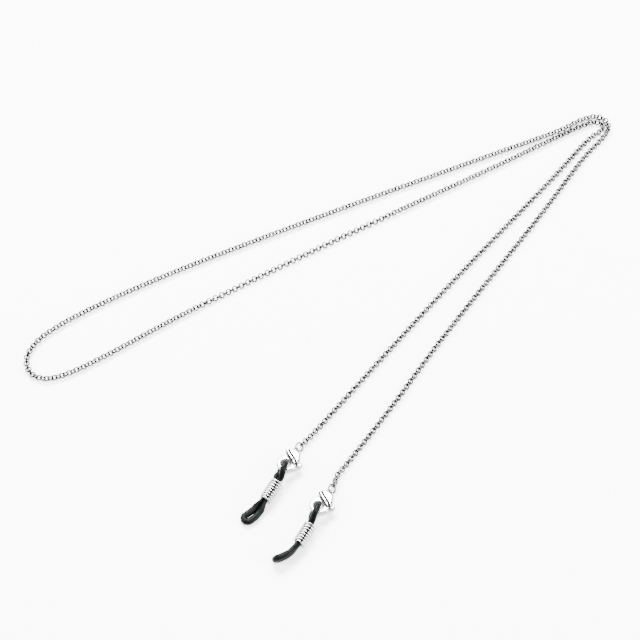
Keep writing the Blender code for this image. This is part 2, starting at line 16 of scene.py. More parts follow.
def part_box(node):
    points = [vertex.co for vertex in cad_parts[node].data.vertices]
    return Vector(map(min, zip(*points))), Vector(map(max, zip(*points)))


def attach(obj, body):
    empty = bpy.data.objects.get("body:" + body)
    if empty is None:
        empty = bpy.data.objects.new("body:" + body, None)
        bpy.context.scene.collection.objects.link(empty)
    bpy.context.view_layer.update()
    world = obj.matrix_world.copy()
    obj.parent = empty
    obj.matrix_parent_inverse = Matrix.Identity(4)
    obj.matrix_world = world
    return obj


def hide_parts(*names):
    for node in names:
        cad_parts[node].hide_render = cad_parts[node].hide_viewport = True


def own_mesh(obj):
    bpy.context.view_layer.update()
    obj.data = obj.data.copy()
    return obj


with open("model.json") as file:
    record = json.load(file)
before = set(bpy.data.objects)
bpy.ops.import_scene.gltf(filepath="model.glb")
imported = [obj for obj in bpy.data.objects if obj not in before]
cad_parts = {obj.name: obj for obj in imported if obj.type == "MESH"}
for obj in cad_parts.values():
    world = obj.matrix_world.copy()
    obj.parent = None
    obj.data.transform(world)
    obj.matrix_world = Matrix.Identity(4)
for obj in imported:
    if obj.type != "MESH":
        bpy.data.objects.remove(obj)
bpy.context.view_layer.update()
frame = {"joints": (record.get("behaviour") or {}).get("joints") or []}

JOINTS = {joint["name"]: joint for joint in frame["joints"]}
SIDES = ("left", "right")
MM = 0.001
UP = Vector((0.0, 0.0, 1.0))

# %% [markdown]
# The camera comes first, because what it sees decides how a loose chain may lie. It
# looks down at 54 degrees with a long lens, from 0.63 m, at the middle of the chain's
# layout. Distances on the table are in millimetres, as on a jeweller's drawing.

# %% Camera
FITTINGS_MIDDLE = Vector((-9.0, -66.35, 0.0))
CAMERA_RISE = math.radians(54.0)
CAMERA_DISTANCE = 0.63
LENS = 112.5


def from_layout(x, y, z=0.0):
    """Point in metres from the layout's millimetres."""
    return (Vector((x, y, z)) - FITTINGS_MIDDLE) * MM


def make_camera():
    look_at = from_layout(0.0, 0.0)
    away = Vector((0.0, -math.cos(CAMERA_RISE), math.sin(CAMERA_RISE)))
    camera_data = bpy.data.cameras.new("table_camera")
    camera_data.lens = LENS
    camera_data.sensor_width = 36.0
    camera_data.clip_start = 0.01
    camera = bpy.data.objects.new("table_camera", camera_data)
    camera.location = look_at + away * CAMERA_DISTANCE
    camera.rotation_euler = (math.pi / 2 - CAMERA_RISE, 0.0, 0.0)
    bpy.context.scene.collection.objects.link(camera)
    bpy.context.scene.camera = camera
    print("camera at", tuple(round(value, 3) for value in camera.location))


make_camera()

# %% [markdown]
# Shader maths reads best as plain expressions. This small class wraps a socket, so that
# `noise * 0.5 + 0.2` adds the Math nodes by itself. One method makes any other node.


# %% Node helpers
class Wire:
    """An output socket of a material's node, with arithmetic."""

    def __init__(self, tree, socket):
        self.tree = tree
        self.socket = socket

    def maths(self, operation, other):
        node = self.tree.nodes.new("ShaderNodeMath")
        node.operation = operation
        for index, value in enumerate((self, other)):
            if isinstance(value, Wire):
                self.tree.links.new(value.socket, node.inputs[index])
            else:
                node.inputs[index].default_value = value
        return Wire(self.tree, node.outputs[0])

    def __add__(self, other):
        return self.maths("ADD", other)

    def __mul__(self, other):
        return self.maths("MULTIPLY", other)


class Finish:
    """A material under construction."""

    def __init__(self, name):
        self.material = bpy.data.materials.new(name)
        self.material.use_nodes = True
        self.tree = self.material.node_tree
        self.shader = self.tree.nodes["Principled BSDF"]

    def node(self, kind, settings=None, sockets=None, output=0):
        """Adds a node, sets its settings and then its sockets, and wraps an output."""
        made = self.tree.nodes.new(kind)
        for name, value in (settings or {}).items():
            if name == "stops":
                self.set_stops(made.color_ramp, value)
            else:
                setattr(made, name, value)
        for name, value in (sockets or {}).items():
            self.feed(made.inputs[name], value)
        return Wire(self.tree, made.outputs[output])

    def set_stops(self, ramp, stops):
        while len(ramp.elements) < len(stops):
            ramp.elements.new(1.0)
        for element, (position, colour) in zip(ramp.elements, stops):
            element.position = position
            element.color = (*colour, 1.0)

    def feed(self, socket, value):
        if isinstance(value, Wire):
            self.tree.links.new(value.socket, socket)
        else:
            socket.default_value = value

    def set(self, **sockets):
        """Sets sockets of the main shader, with _ for a space in their names."""
        for name, value in sockets.items():
            self.feed(self.shader.inputs[name.replace("_", " ")], value)

    def noise(self, scale, detail):
        """Even noise from 0 to 1, with its scale in features per metre."""
        place = self.node("ShaderNodeTexCoord", output=3)
        return self.node("ShaderNodeTexNoise", {},
                         {"Vector": place, "Scale": scale, "Detail": detail})

    def colour_ramp(self, factor, stops):
        return self.node("ShaderNodeValToRGB", {"stops": stops}, {"Fac": factor})

    def blend(self, factor, first, second):
        """Colour between two, first at 0 and second at 1."""
        made = self.tree.nodes.new("ShaderNodeMix")
        made.data_type = "RGBA"
        self.feed(made.inputs[0], factor)
        self.feed(made.inputs[6], first)
        self.feed(made.inputs[7], (*second, 1.0))
        return Wire(self.tree, made.outputs[2])

    def bump(self, height, distance):
        return self.node("ShaderNodeBump", {}, {"Height": height, "Distance": distance,
                                                "Strength": 1.0})


# %% [markdown]
# Polished steel is not one even grey. Fine tumbling marks blur its reflections a
# little, in patches, and a film darkens it in other patches. Both come from noise at
# the size of the marks, a tenth of a millimetre and up. Each steel piece gets the same
# recipe with its own brightness and marks, and painted shade, stored per point, darkens
# its colour at link joints, in grooves and on side walls.


# %% Finishes
# Painted shade: points with the "shadowed" attribute are blended towards this near-black
# colour and made rougher.
SHADOWED = "shadowed"
PAINTED_SHADE_COLOUR = (0.006, 0.006, 0.0065)
FILM_PATCHES = 900.0
PAINTED_SHADE_ROUGHNESS = 0.3


def steel(name, bright, dark, low, high, marks, mark_depth):
    """Polished steel: two greys, a range of roughness, and marks per metre.

    A mesh's "shadowed" attribute, 0 to 1, says where painted shade blends the colour
    towards near black and adds roughness.
    """
    finish = Finish(name)
    film = finish.noise(FILM_PATCHES, 4.0)
    haze = finish.noise(marks, 2.0)
    # Painted shade: the attribute mixes the steel's colour towards near black.
    painted_shade = finish.node("ShaderNodeAttribute", {"attribute_name": SHADOWED}, output=2)
    unshaded = finish.colour_ramp(film, [(0.35, dark), (0.62, bright)])
    finish.set(
        Base_Color=finish.blend(painted_shade, unshaded, PAINTED_SHADE_COLOUR),
        Metallic=1.0,
        Roughness=haze * (high - low) + low + painted_shade * PAINTED_SHADE_ROUGHNESS,
        Normal=finish.bump(haze, mark_depth),
    )
    return finish.material


def rubber(name):
    """Moulded black rubber: a soft sheen, faint mould haze and dust-fine grain."""
    finish = Finish(name)
    grain = finish.noise(9000.0, 2.0)
    bloom = finish.noise(450.0, 4.0)
    finish.set(
        Base_Color=finish.colour_ramp(
            bloom, [(0.35, (0.0003, 0.0006, 0.0005)), (0.75, (0.0010, 0.0016, 0.0014))]),
        Roughness=bloom * 0.14 + 0.36,
        Normal=finish.bump(grain, 0.000004),
        Specular_IOR_Level=0.045,
    )
    return finish.material


CHAIN_STEEL = steel("chain_wire_steel", (0.058, 0.057, 0.055), (0.025, 0.025, 0.024), 0.26,
                    0.42, 7000.0, 0.000002)
RING_STEEL = steel("jump_ring_steel", (0.12, 0.118, 0.115), (0.055, 0.055, 0.054), 0.12,
                   0.22, 6000.0, 0.000002)
CLASP_STEEL = steel("cast_clasp_steel", (0.40, 0.397, 0.39), (0.24, 0.24, 0.237), 0.09,
                    0.19, 5000.0, 0.000003)
LEVER_STEEL = steel("lever_steel", (0.30, 0.297, 0.29), (0.17, 0.17, 0.167), 0.10, 0.24,
                    5000.0, 0.000003)
RIVET_STEEL = steel("rivet_steel", (0.55, 0.545, 0.53), (0.38, 0.375, 0.37), 0.16, 0.32,
                    8000.0, 0.000003)
SPRING_STEEL = steel("spring_steel", (0.50, 0.50, 0.49), (0.33, 0.33, 0.32), 0.18, 0.34,
                     9000.0, 0.000002)
COIL_STEEL = steel("coil_wire_steel", (0.42, 0.417, 0.41), (0.28, 0.28, 0.276), 0.09,
                   0.20, 7000.0, 0.000002)
RUBBER = rubber("black_rubber_skin")
print("8 finishes")

# %% [markdown]
# Wires, cords and links all need a frame that follows a line. `frame_at` builds one
# from a point, the way ahead and a rough idea of up. `finished` turns a bmesh in
# millimetres into an object whose place is in its mesh.


# %% Shape helpers
def frame_at(point, ahead, rough_up):
    """Frame at a point, X ahead, and Z as near as can be to rough_up."""
    ahead = ahead.normalized()
    upward = (rough_up - ahead * rough_up.dot(ahead)).normalized()
    made = Matrix((ahead, upward.cross(ahead), upward)).transposed().to_4x4()
    made.translation = point
    return made


def finished(name, shape, material, body, covers, smooth_deg=180.0):
    """Object of a bmesh, which is already in place in metres, riding on a body."""
    mesh = bpy.data.meshes.new(name)
    shape.to_mesh(mesh)
    shape.free()
    mesh.materials.append(material)
    mesh.shade_smooth()
    if smooth_deg < 180.0:
        mesh.set_sharp_from_angle(angle=math.radians(smooth_deg))
    made = bpy.data.objects.new(name, mesh)
    bpy.context.scene.collection.objects.link(made)
    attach(made, body)
    if covers:
        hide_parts(covers)
    return made


def store_painted_shade(made, values):
    """Stores how much painted shade each point gets."""
    attribute = made.data.attributes.new(SHADOWED, "FLOAT", "POINT")
    attribute.data.foreach_set("value", values)


def shade_with(made, amount):
    """Gives each point the painted shade that goes with its place in the mesh."""
    store_painted_shade(made, [amount(vert.co) for vert in made.data.vertices])


def wire_ring(radius, wire, around, sides, slit_deg=0.0):
    """Ring of round wire about Z, in millimetres. A slit opens it at -X."""
    shape = bmesh.new()
    section = Matrix.Translation((radius, 0.0, 0.0)) @ Matrix.Rotation(
        math.pi / 2, 4, "X")
    bmesh.ops.create_circle(shape, segments=sides, radius=wire / 2,
                            cap_ends=slit_deg > 0, matrix=section)
    bmesh.ops.spin(
        shape, geom=shape.faces[:] + shape.edges[:] + shape.verts[:], cent=(0, 0, 0),
        axis=(0, 0, 1), dvec=(0, 0, 0), angle=math.radians(360.0 - slit_deg),
        steps=around, use_merge=slit_deg == 0)
    turned = Matrix.Rotation(math.radians(180.0 + slit_deg / 2), 4, "Z")
    bmesh.ops.transform(shape, matrix=turned, verts=shape.verts)
    bmesh.ops.recalc_face_normals(shape, faces=shape.faces)
    return shape


def swept(stations, sides):
    """Endless tube through (frame, width, height) stations, round or oval in section."""
    shape = bmesh.new()
    on_edge = Matrix.Rotation(math.pi / 2, 4, "Y")
    hoops = []
    for place, width, height in stations:
        oval = Matrix.Diagonal((1.0, width, height, 1.0))
        made = bmesh.ops.create_circle(shape, segments=sides, radius=1.0,
                                       matrix=place @ oval @ on_edge)
        hoops.append(list({edge for vert in made["verts"] for edge in vert.link_edges}))
    for first, second in zip(hoops, hoops[1:] + hoops[:1]):
        bmesh.ops.bridge_loops(shape, edges=first + second)
    bmesh.ops.recalc_face_normals(shape, faces=shape.faces)
    return shape


def eased(keys, at):
    """Value at a distance, eased from each (distance, value) key to the next."""
    if at <= keys[0][0]:
        return keys[0][1]
    for (start, first), (end, second) in zip(keys, keys[1:]):
        if at <= end:
            share = (at - start) / (end - start)
            return first + (second - first) * share * share * (3 - 2 * share)
    return keys[-1][1]


# %% [markdown]
# The chain is one fixed length of something limp, so it lies where its weight puts it.
# Its route repeats the engineering model's points, but for four at the tight fold that
# are moved by up to 0.8 mm, and a smooth curve through them gives the line. Some six
# hundred and forty round links then follow at the chain's own pitch, each a
# quarter turn from its neighbour, which is what makes it a rolo chain. The pair's roll
# drifts along the way: some stretches lie with one link flat, others on their corners.

# %% Chain sizes and route
LINK_OUTER = 2.10
LINK_WIRE = 0.42
LINK_PLAY = 0.06
LINK_RADIUS = (LINK_OUTER - LINK_WIRE) / 2
LINK_PITCH = LINK_OUTER - 2 * LINK_WIRE - LINK_PLAY
FLOOR_GAP = 0.01
CHAIN_ROUTE = [
    (5.0, -33.8), (40.1, 11.8), (76.3, 56.5), (91.0, 75.2), (94.3, 77.9), (95.8, 80.0),
    (94.8, 81.9), (92.4, 82.1), (88.6, 80.4), (80.4, 75.7), (55.5, 60.8), (5.5, 31.7),
    (-43.6, 1.2), (-67.5, -15.0), (-77.4, -20.9), (-83.8, -23.0), (-88.0, -22.0),
    (-90.5, -18.6), (-90.8, -14.4), (-88.3, -9.0), (-82.8, -3.6), (-72.0, 3.9),
    (-47.3, 17.9), (3.7, 42.8), (55.2, 66.6), (81.1, 78.6), (88.4, 83.0), (93.6, 84.7),
    (96.5, 83.2), (97.6, 80.4), (96.4, 77.0), (88.5, 66.9), (71.9, 41.6), (37.5, -8.7),
    (21.1, -34.4),
]
CHAIN_ROLL = [(0.0, 45.0), (148.0, 45.0), (172.0, 90.0), (232.0, 90.0), (250.0, 135.0),
              (302.0, 135.0), (322.0, 180.0), (585.0, 180.0), (612.0, 225.0)]


def joint_point(name):
    return Vector(JOINTS[name]["pos_m"]) / MM


def joint_axis(name):
    return Vector(JOINTS[name]["axis"])


def pull_of(side):
    """Way the end links run, from the chain to the clasp."""
    return (joint_point(f"{side}_link_3_swing")
            - joint_point(f"{side}_link_1_swing")).normalized()


def last_chain_link(side):
    """Middle of the chain's own link that the first loose end link hangs on."""
    return joint_point(f"{side}_link_1_swing") - pull_of(side) * LINK_RADIUS


def smooth_curve(points, per_span):
    """Dense points of a centripetal Catmull-Rom curve through these points."""
    padded = [points[0] * 2 - points[1]] + points + [points[-1] * 2 - points[-2]]
    dense = []
    for a, b, c, d in zip(padded, padded[1:], padded[2:], padded[3:]):
        t1 = (b - a).length ** 0.5
        t2 = t1 + (c - b).length ** 0.5
        t3 = t2 + (d - c).length ** 0.5
        for step in range(per_span):
            t = t1 + (t2 - t1) * step / per_span
            ab = a.lerp(b, t / t1)
            bc = b.lerp(c, (t - t1) / (t2 - t1))
            cd = c.lerp(d, (t - t2) / (t3 - t2))
            abc = ab.lerp(bc, t / t2)
            bcd = bc.lerp(cd, (t - t1) / (t3 - t1))
            dense.append(abc.lerp(bcd, (t - t1) / (t2 - t1)))
    dense.append(points[-1])
    return dense


def lengths_along(points):
    travelled = [0.0]
    for first, second in zip(points, points[1:]):
        travelled.append(travelled[-1] + (second - first).length)
    return travelled


class Route:
    """A line that can be asked for its point at any distance along it."""

    def __init__(self, points):
        self.points = points
        self.travelled = lengths_along(points)
        self.length = self.travelled[-1]
        self.index = 0

    def at(self, distance):
        while self.index and self.travelled[self.index] > distance:
            self.index -= 1
        while (self.index < len(self.points) - 2
               and self.travelled[self.index + 1] < distance):
            self.index += 1
        start = self.travelled[self.index]
        gap = self.travelled[self.index + 1] - start
        share = (distance - start) / gap
        return self.points[self.index].lerp(self.points[self.index + 1], share)

    def ahead(self, distance, reach):
        before = self.at(max(0.0, distance - reach))
        after = self.at(min(self.length, distance + reach))
        return (after - before).normalized()


def lay_chain_route():
    start = last_chain_link("left")
    end = last_chain_link("right")
    flat = [from_layout(x, y) / MM for x, y in CHAIN_ROUTE]
    flat_start = Vector((start.x, start.y, 0.0))
    flat_end = Vector((end.x, end.y, 0.0))
    return Route(smooth_curve([flat_start] + flat + [flat_end], 40)), start.z, end.z


chain_route, left_height, right_height = lay_chain_route()
print("chain line", round(chain_route.length, 1), "mm")

# %% [markdown]
# One link is spun once and copied into place. Fourteen steps round and six sides are
# enough at this size, because smooth shading hides the facets, and six hundred links
# have to stay light.


# %% Chain links
LINK_STEPS = 14
LINK_SIDES = 6
ROLL_EASE = 6.0
# Painted shade on the chain: the wire is darkened at each joint between links, and links
# standing on edge are darkened more.
EDGE_ON_SHADE = 0.7
JOINT_SHADE_START = 0.45
JOINT_SHADE_RAMP = 0.25
JOINT_SHADE_OUTSIDE = 0.55
JOINT_SHADE_INWARD_GAIN = 4.0


def lying_height(roll_deg):
    """Height at which the lower of a pair of links just touches the table."""
    roll = math.radians(roll_deg)
    reach = max(abs(math.cos(roll)), abs(math.sin(roll)))
    return LINK_RADIUS * reach + LINK_WIRE / 2 + FLOOR_GAP


def link_frame(distance, quarter):
    """Frame of a chain link: X along the chain, Z through the hole of the link."""
    roll = eased(CHAIN_ROLL, distance)
    here = chain_route.at(distance)
    from_end = min(distance, chain_route.length - distance)
    near_end = left_height if distance < chain_route.length / 2 else right_height
    here.z = eased([(0.0, near_end), (ROLL_EASE, lying_height(roll))], from_end)
    ahead = chain_route.ahead(distance, LINK_PITCH / 2)
    turn = math.radians(roll + 90.0 * quarter)
    across = UP.cross(ahead).normalized()
    return frame_at(here, ahead, across * math.cos(turn) + UP * math.sin(turn))


def joint_painted_shade(point):
    """Painted shade darkens a link's wire where its neighbours meet it, more on the inner
    side.
    """
    along = abs(point.x) / LINK_RADIUS
    inward = 1.0 - math.hypot(point.x, point.y) / (LINK_RADIUS + LINK_WIRE / 2)
    at_joint = max(0.0, min(1.0, (along - JOINT_SHADE_START) / JOINT_SHADE_RAMP))
    return at_joint * min(1.0, JOINT_SHADE_OUTSIDE + JOINT_SHADE_INWARD_GAIN * inward)


def make_chain():
    pattern = wire_ring(LINK_RADIUS, LINK_WIRE, LINK_STEPS, LINK_SIDES)
    link = bpy.data.meshes.new("link_pattern")
    pattern.to_mesh(link)
    pattern.free()
    joint_shade = [joint_painted_shade(vert.co) for vert in link.vertices]
    count = 2 * round((chain_route.length / LINK_PITCH + 1) / 2)
    pitch = chain_route.length / (count - 1)
    shape = bmesh.new()
    line = []
    painted_shade = []
    for number in range(count):
        place = link_frame(number * pitch, (number + 1) % 2)
        line.append(place.translation * MM)
        # Painted shade: the more a link stands on edge, the darker its colour.
        on_edge = 1.0 - abs(place.col[2].z)
        painted_shade += [min(1.0, value + EDGE_ON_SHADE * on_edge) for value in joint_shade]
        shape.from_mesh(link)
        shape.verts.ensure_lookup_table()
        fresh = shape.verts[-len(link.vertices):]
        bmesh.ops.transform(shape, matrix=Matrix.Scale(MM, 4) @ place, verts=fresh)
    chain = finished("chain_links", shape, CHAIN_STEEL, "chain", "chain")
    store_painted_shade(chain, painted_shade)
    print(count, "links at a pitch of", round(pitch, 4), "mm,",
          len(chain.data.polygons), "faces")
    return chain, line


chain, chain_line = make_chain()
sum(
    (b - a).length for a, b in zip(chain_line, chain_line[1:]))

# %% [markdown]
# The three loose end links are the chain's own, and the jump ring is a thicker ring
# with a fine slit, squeezed shut. Each lies on the hinge that the frame gives it.


# %% End links and jump rings
RING_OUTER = 3.10
RING_WIRE = 0.56
RING_RADIUS = (RING_OUTER - RING_WIRE) / 2
RING_SLIT_DEG = 3.0
RING_SLIT_TURN = math.radians(75.0)
RING_END_ROUNDING = 0.06


def make_end_links(side):
    pull = pull_of(side)
    for number in (1, 2, 3):
        joint = f"{side}_link_{number}_swing"
        shape = wire_ring(LINK_RADIUS, LINK_WIRE, 32, 14)
        place = frame_at(joint_point(joint), pull, joint_axis(joint))
        place = place @ Matrix.Translation((LINK_PITCH - LINK_RADIUS, 0.0, 0.0))
        place = Matrix.Scale(MM, 4) @ place
        bmesh.ops.transform(shape, matrix=place, verts=shape.verts)
        link = finished(f"{side}_link_{number}_wire", shape, CHAIN_STEEL,
                        f"{side}_link_{number}", f"{side}_end_link_{number}")
        back = place.inverted()
        # Painted shade at the joints, as on the chain.
        shade_with(link, lambda point: joint_painted_shade(back @ point))


def make_jump_ring(side):
    low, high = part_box(f"{side}_jump_ring")
    axis = joint_axis(f"{side}_ring_swing")
    near = joint_point(f"{side}_ring_swing")
    far = joint_point(f"{side}_clasp_swing")
    middle = (low + high) / 2 / MM
    toward = far - near
    shape = wire_ring(RING_RADIUS, RING_WIRE, 56, 16, slit_deg=RING_SLIT_DEG)
    for edge_ring in [face for face in shape.faces if len(face.verts) > 4]:
        bmesh.ops.bevel(shape, geom=list(edge_ring.edges), offset=RING_END_ROUNDING,
                        segments=2, profile=0.5, affect="EDGES", material=-1)
    slit = Matrix.Rotation(RING_SLIT_TURN, 4, "Z")
    place = frame_at(middle, toward, axis) @ slit
    bmesh.ops.transform(shape, matrix=Matrix.Scale(MM, 4) @ place, verts=shape.verts)
    finished(f"{side}_split_ring", shape, RING_STEEL, f"{side}_ring",
             f"{side}_jump_ring", smooth_deg=50.0)


for side in SIDES:
    make_end_links(side)
    make_jump_ring(side)
print("6 end links, 2 jump rings")

# %% [markdown]
# A lobster clasp is cast in one piece, so nothing on it is sharp. Flat plates and a
# ring are joined and cut with Booleans, and a voxel remesh with a little smoothing then
# melts the edges together as casting and tumbling do. Its own frame has X from the eye
# to the end of the claw, and Z out of its face.

# %% Clasp sizes
EYE_RADIUS = 0.97
EYE_WIRE = 0.42
EYE_FROM_RING = 0.34
CLAW_CENTRE = (5.90, 0.25)
CLAW_RADIUS = 3.10
CLAW_THICK = 1.40
MOUTH_CENTRE = (6.50, 0.05)
MOUTH_RADIUS = 1.75
BODY_THICK = 2.60
PIVOT = (4.20, 1.35)
CHEEK_RADIUS = 1.90
GATE_START_DEG = -14.0
GATE_END_DEG = 112.0
GATE_GAP = 0.09
SLOT_THICK = 1.00
SPRING_POCKET = 0.88
LEVER_THICK = 0.84
RIVET_RADIUS = 0.33
RIVET_PLAY = 0.03
CLAW_ROUNDING = 0.42
ROOT_RADIUS = 0.85
ROOT_PLAY = 0.10
ROOT_STEP = 0.03
VOXEL = 0.045
BODY_SMOOTHING = 6
LEVER_SMOOTHING = 5


def clasp_frame(side):
    """Frame of a clasp at the middle of its eye, in millimetres."""
    at_ring = joint_point(f"{side}_clasp_swing")
    ahead = joint_point(f"{side}_loop_swing") - at_ring
    place = frame_at(at_ring, ahead, joint_axis(f"{side}_lever_press"))
    return place @ Matrix.Translation((EYE_FROM_RING, 0.0, 0.0))


def arc(centre, radius, start_deg, end_deg, steps):
    """Points on an arc, both ends included."""
    turns = [math.radians(start_deg + (end_deg - start_deg) * step / steps)
             for step in range(steps + 1)]
    return [(centre[0] + radius * math.cos(turn), centre[1] + radius * math.sin(turn))
            for turn in turns]


def plate(outline, thick, round_edge=0.0, steps=3):
    """Flat plate with this outline, centred on Z = 0, with rounded face edges."""
    shape = bmesh.new()
    base = shape.faces.new([shape.verts.new((x, y, -thick / 2)) for x, y in outline])
    raised = bmesh.ops.extrude_face_region(shape, geom=[base])
    top = [item for item in raised["geom"] if isinstance(item, bmesh.types.BMVert)]
    bmesh.ops.translate(shape, vec=(0.0, 0.0, thick), verts=top)
    bmesh.ops.recalc_face_normals(shape, faces=shape.faces)
    if round_edge:
        flat = [edge for edge in shape.edges
                if abs(edge.verts[0].co.z - edge.verts[1].co.z) < thick / 2]
        bmesh.ops.bevel(shape, geom=flat, offset=round_edge, offset_type="OFFSET",
                        segments=steps, profile=0.5, affect="EDGES", material=-1)
    return shape


def round_plate(centre, radius, thick, round_edge=0.0):
    return plate(arc(centre, radius, 0.0, 360.0, 64)[:-1], thick, round_edge)


class Casting:
    """A solid built by adding and cutting shapes, all in one piece's millimetres."""

    def __init__(self, shape):
        self.solid = self.to_object("casting", shape)
        self.helpers = []

    def to_object(self, name, shape):
        mesh = bpy.data.meshes.new(name)
        shape.to_mesh(mesh)
        shape.free()
        made = bpy.data.objects.new(name, mesh)
        bpy.context.scene.collection.objects.link(made)
        return made

    def boolean(self, shape, operation):
        tool = self.to_object("casting_tool", shape)
        step = self.solid.modifiers.new("step", "BOOLEAN")
        step.operation = operation
        step.solver = "MANIFOLD"
        step.object = tool
        self.helpers.append(tool)

    def add(self, shape):
        self.boolean(shape, "UNION")

    def cut(self, shape):
        self.boolean(shape, "DIFFERENCE")

    def melted(self, rounds):
        """Remeshed and smoothed solid as a bmesh."""
        remesh = self.solid.modifiers.new("melt", "REMESH")
        remesh.mode = "VOXEL"
        remesh.voxel_size = VOXEL
        soften = self.solid.modifiers.new("soften", "SMOOTH")
        soften.factor = 0.5
        soften.iterations = rounds
        graph = bpy.context.evaluated_depsgraph_get()
        shape = bmesh.new()
        shape.from_object(self.solid, graph)
        for helper in [self.solid] + self.helpers:
            mesh = helper.data
            bpy.data.objects.remove(helper)
            bpy.data.meshes.remove(mesh)
        return shape


# %% [markdown]
# The thick shoulder ends at the mouth in an S-shaped groove, with a second one behind
# it, and the bright ridge between the two is what a clasp of this kind is known by.
# Both grooves are swept along a short smooth line and cut from both faces.

# %% Clasp body
FRONT_GROOVE = [(2.45, -2.30), (3.05, -1.60), (3.75, -0.70), (4.40, 0.35), (5.05, 1.25),
                (5.75, 2.05), (6.15, 2.75)]
BACK_GROOVE = [(1.35, -2.05), (1.95, -1.35), (2.70, -0.45), (3.35, 0.60), (4.00, 1.65),
               (4.90, 2.60), (5.30, 3.10)]
GROOVE_WIDTH = 0.60
GROOVE_REACH = 2.0
BACK_GROOVE_FLOOR = 0.74
FRONT_GROOVE_FLOOR = 0.66
FACE_MARGIN = 0.10
# Painted shade: the grooves are filled near black, and the side walls are darkened towards
# the middle plane.
GROOVE_SHADE_REACH = GROOVE_WIDTH * 0.75
GROOVE_SHADE_FADE = 0.10
GROOVE_SHADE_NEAREST_X = 0.8
GROOVE_SHADE_FARTHEST_X = 6.5
WALL_SHADE = 0.55
WALL_HEIGHT = 0.75
SHOULDER_ROUNDING = 0.55
SLOT_REACH = 4.1
SLOT_DEG = (-2.0, 128.0)
POCKET_X = 1.90
POCKET_Y = (1.29, 2.17)


def bmesh_moved(shape, by):
    bmesh.ops.translate(shape, vec=by, verts=shape.verts)
    return shape


def groove_tool(points, floor):
    """Cutter that follows a line across the face, down to a floor on both sides."""
    line = smooth_curve([Vector((x, y)) for x, y in points], 6)
    banks = ([], [])
    for index, here in enumerate(line):
        ahead = line[min(index + 1, len(line) - 1)] - line[max(index - 1, 0)]
        sideways = Vector((-ahead.y, ahead.x)).normalized() * GROOVE_WIDTH / 2
        banks[0].append(tuple(here + sideways))
        banks[1].append(tuple(here - sideways))
    outline = banks[0] + banks[1][::-1]
    height = floor + GROOVE_REACH / 2
    return [bmesh_moved(plate(outline, GROOVE_REACH), (0.0, 0.0, sign * height))
            for sign in (1, -1)]


def groove_lines():
    """Dense points of both grooves."""
    return [here for points in (BACK_GROOVE, FRONT_GROOVE)
            for here in smooth_curve([Vector((x, y)) for x, y in points], 5)]


def groove_painted_shade(point, lines):
    """Painted shade fills a groove nearly up to the face, and darkens the side walls
    towards the middle plane.
    """
    level = abs(point.z)
    wall = WALL_SHADE * max(0.0, 1.0 - level / WALL_HEIGHT)
    on_shoulder = GROOVE_SHADE_NEAREST_X < point.x < GROOVE_SHADE_FARTHEST_X
    if level < FRONT_GROOVE_FLOOR - FACE_MARGIN or not on_shoulder:
        return wall
    flat = point.xy
    near = min((here - flat).length for here in lines)
    if near > GROOVE_SHADE_REACH or level > BODY_THICK / 2 - FACE_MARGIN:
        return wall
    return min(1.0, (GROOVE_SHADE_REACH - near) / GROOVE_SHADE_FADE)


def shoulder_outline():
    """Leaf-like outline, smooth but for its point on the hook's side."""
    front = [(2.30, -2.34), (3.05, -1.52), (3.72, -0.66), (4.35, 0.28), (4.86, 1.08),
             (5.40, 1.75)]
    back = [(5.74, 2.47), (5.10, 3.02), (4.20, 3.25), (3.20, 3.02), (2.20, 2.55),
            (1.40, 2.05), (0.86, 1.45), (0.66, 0.75), (0.66, -0.75), (0.92, -1.45),
            (1.45, -2.00), (2.30, -2.34)]
    outline = []
    for points in (front, back):
        outline += smooth_curve([Vector(point) for point in points], 5)
    return [tuple(point) for point in outline[:-1]]


def make_clasp_body(side):
    casting = Casting(round_plate(CLAW_CENTRE, CLAW_RADIUS, CLAW_THICK,
                                   CLAW_ROUNDING))
    casting.cut(plate(arc(CLAW_CENTRE, CLAW_RADIUS + 1.0, GATE_START_DEG, GATE_END_DEG,
                          12) + [CLAW_CENTRE], 2 * BODY_THICK))
    casting.add(plate(shoulder_outline(), BODY_THICK, SHOULDER_ROUNDING, 4))
    for tool in (groove_tool(BACK_GROOVE, BACK_GROOVE_FLOOR)
                 + groove_tool(FRONT_GROOVE, FRONT_GROOVE_FLOOR)):
        casting.cut(tool)
    casting.add(wire_ring(EYE_RADIUS, EYE_WIRE, 48, 16))
    casting.cut(round_plate(MOUTH_CENTRE, MOUTH_RADIUS, 2 * BODY_THICK))
    slot = [PIVOT] + arc(PIVOT, SLOT_REACH, *SLOT_DEG, 12)
    casting.cut(plate(slot, SLOT_THICK))
    casting.cut(round_plate(PIVOT, ROOT_RADIUS + ROOT_PLAY, SLOT_THICK - ROOT_STEP))
    low, high = POCKET_Y
    casting.cut(plate([(POCKET_X, low), (PIVOT[0], low), (PIVOT[0], high),
                       (POCKET_X, high)], SPRING_POCKET))
    casting.cut(round_plate(PIVOT, RIVET_RADIUS + RIVET_PLAY, 2 * BODY_THICK))
    shape = casting.melted(BODY_SMOOTHING)
    place = Matrix.Scale(MM, 4) @ clasp_frame(side)
    bmesh.ops.transform(shape, matrix=place, verts=shape.verts)
    body = finished(f"{side}_clasp_casting", shape, CLASP_STEEL,
                    f"{side}_clasp", f"{side}_clasp_body")
    back = place.inverted()
    lines = groove_lines()
    # Painted shade in the grooves and on the side walls.
    shade_with(body, lambda point: groove_painted_shade(back @ point, lines))
    print(body.name, len(body.data.polygons), "faces")


for side in SIDES:
    make_clasp_body(side)

# %% [markdown]
# The thumb lever is a casting too: a root and web inside the slot, a nose outside that
# carries on the claw's ring, and a small ribbed thumb tab. It turns on a plain rivet,
# and a tiny spring pushes on its heel.

